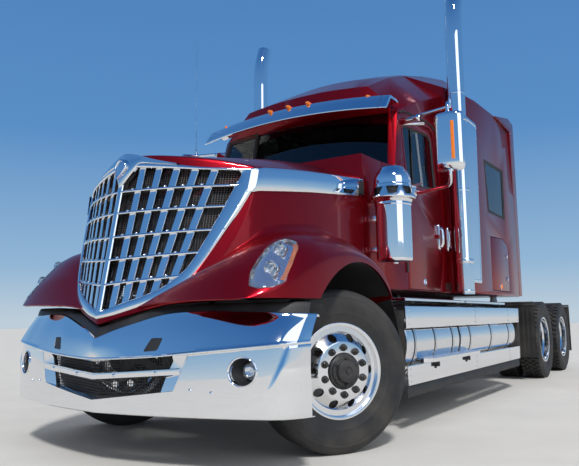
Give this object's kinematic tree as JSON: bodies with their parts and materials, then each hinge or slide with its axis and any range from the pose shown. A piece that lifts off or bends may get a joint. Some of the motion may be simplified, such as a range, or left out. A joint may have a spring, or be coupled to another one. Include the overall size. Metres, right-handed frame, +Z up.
{
  "type": "semi truck tractor unit",
  "caption": "Conventional sleeper-cab semi truck tractor with a leaning prow grille, bright trim, tandem drive axles and a fifth wheel.",
  "frame": {"origin": "on the ground under the middle of the truck's length, on its centre plane", "axes": "+X forward, +Y to the driver's left, +Z up"},
  "size_m": [8.558, 3.04, 4.0723],
  "materials": {
    "red_paint": "gloss",
    "chrome": "polished",
    "polished_aluminium": "polished",
    "black_steel": "satin",
    "cast_grey": "matt",
    "tyre": "matt",
    "rubber": "matt",
    "black_plastic": "matt",
    "glass": "clear",
    "lamp_lens": "clear",
    "amber_lens": "gloss",
    "grey_trim": "matt",
    "seat_cloth": "woven"
  },
  "bodies": {
    "chassis": {"air_cleaners": "chrome", "axles": "cast_grey", "bumper": "chrome", "bumper_insert": "black_plastic", "cab_shell": "red_paint", "dashboard": "grey_trim", "deck_plate": "polished_aluminium", "drivetrain_block": "cast_grey", "exhaust_stacks": "chrome", "fifth_wheel_base": "black_steel", "fixed_glass": "glass", "fog_lamps": "lamp_lens", "frame_rails": "black_steel", "fuel_tanks": "polished_aluminium", "mudflaps": "rubber", "radiator": "black_steel", "roof_lamps": "amber_lens", "seats": "seat_cloth", "side_extenders": "red_paint", "side_fairings": "chrome", "sleeper_shell": "red_paint", "stack_shields": "chrome", "steering_wheel": "grey_trim", "steps": "chrome", "sun_visor": "chrome", "suspension": "cast_grey"},
    "hood": {"hood_panel": "red_paint", "fenders": "red_paint", "grille_frame": "chrome", "grille_bars": "chrome", "grille_mesh": "black_plastic", "hood_trim": "chrome", "headlights": "lamp_lens"},
    "door_left": {"door_left": "red_paint", "door_glass_left": "glass", "mirror_left": "chrome"},
    "door_right": {"door_right": "red_paint", "door_glass_right": "glass", "mirror_right": "chrome"},
    "luggage_door_left": {"luggage_door_left": "red_paint"},
    "luggage_door_right": {"luggage_door_right": "red_paint"},
    "knuckle_left": {"knuckle_left": "cast_grey"},
    "knuckle_right": {"knuckle_right": "cast_grey"},
    "tie_rod": {"tie_rod": "cast_grey"},
    "front_wheel_left": {"front_tyre_left": "tyre", "front_wheel_left": "polished_aluminium"},
    "front_wheel_right": {"front_tyre_right": "tyre", "front_wheel_right": "polished_aluminium"},
    "drive_wheel_1_left": {"drive_tyres_1_left": "tyre", "drive_wheels_1_left": "polished_aluminium"},
    "drive_wheel_1_right": {"drive_tyres_1_right": "tyre", "drive_wheels_1_right": "polished_aluminium"},
    "drive_wheel_2_left": {"drive_tyres_2_left": "tyre", "drive_wheels_2_left": "polished_aluminium"},
    "drive_wheel_2_right": {"drive_tyres_2_right": "tyre", "drive_wheels_2_right": "polished_aluminium"},
    "fifth_wheel": {"fifth_wheel_plate": "black_steel"}
  },
  "joints": [
    {"name": "hood_tilt", "type": "hinge", "parent": "chassis", "child": "hood", "pos_m": [4.12, 0, 0.62], "axis": [0, 1, 0], "range_deg": [0, 75]},
    {"name": "door_left_hinge", "type": "hinge", "parent": "chassis", "child": "door_left", "pos_m": [1.868, 1.024, 1.8], "axis": [0, 0, -1], "range_deg": [0, 70]},
    {"name": "door_right_hinge", "type": "hinge", "parent": "chassis", "child": "door_right", "pos_m": [1.868, -1.024, 1.8], "axis": [0, 0, 1], "range_deg": [0, 70]},
    {"name": "luggage_door_left_hinge", "type": "hinge", "parent": "chassis", "child": "luggage_door_left", "pos_m": [0.014, 1.186, 1.4], "axis": [0, 0, -1], "range_deg": [0, 90]},
    {"name": "luggage_door_right_hinge", "type": "hinge", "parent": "chassis", "child": "luggage_door_right", "pos_m": [0.014, -1.186, 1.4], "axis": [0, 0, 1], "range_deg": [0, 90]},
    {"name": "steer_left", "type": "hinge", "parent": "chassis", "child": "knuckle_left", "pos_m": [3.14, 0.9, 0.505], "axis": [0, 0, 1], "range_deg": [-15, 75]},
    {"name": "steer_right", "type": "hinge", "parent": "chassis", "child": "knuckle_right", "pos_m": [3.14, -0.9, 0.505], "axis": [0, 0, 1], "range_deg": [-15, 75]},
    {"name": "tie_rod_end", "type": "hinge", "parent": "knuckle_left", "child": "tie_rod", "pos_m": [2.96679, 1, 0.47], "axis": [0, 0, 1], "range_deg": [-75, 15]},
    {"name": "front_wheel_left_spin", "type": "hinge", "parent": "knuckle_left", "child": "front_wheel_left", "pos_m": [3.195, 0.99526, 0.505], "axis": [0.5, 0.866, 0], "continuous": true},
    {"name": "front_wheel_right_spin", "type": "hinge", "parent": "knuckle_right", "child": "front_wheel_right", "pos_m": [3.085, -0.99526, 0.505], "axis": [0.5, 0.866, 0], "continuous": true},
    {"name": "drive_wheel_1_left_spin", "type": "hinge", "parent": "chassis", "child": "drive_wheel_1_left", "pos_m": [-2.34, 0.915, 0.505], "axis": [0, 1, 0], "continuous": true},
    {"name": "drive_wheel_1_right_spin", "type": "hinge", "parent": "chassis", "child": "drive_wheel_1_right", "pos_m": [-2.34, -0.915, 0.505], "axis": [0, 1, 0], "continuous": true},
    {"name": "drive_wheel_2_left_spin", "type": "hinge", "parent": "chassis", "child": "drive_wheel_2_left", "pos_m": [-3.66, 0.915, 0.505], "axis": [0, 1, 0], "continuous": true},
    {"name": "drive_wheel_2_right_spin", "type": "hinge", "parent": "chassis", "child": "drive_wheel_2_right", "pos_m": [-3.66, -0.915, 0.505], "axis": [0, 1, 0], "continuous": true},
    {"name": "fifth_wheel_tilt", "type": "hinge", "parent": "chassis", "child": "fifth_wheel", "pos_m": [-2.92, 0, 1.14], "axis": [0, 1, 0], "range_deg": [-12, 12]}
  ],
  "couplings": [
    {"joint": "steer_right", "follows": "steer_left", "ratio": 1},
    {"joint": "tie_rod_end", "follows": "steer_left", "ratio": -1}
  ]
}
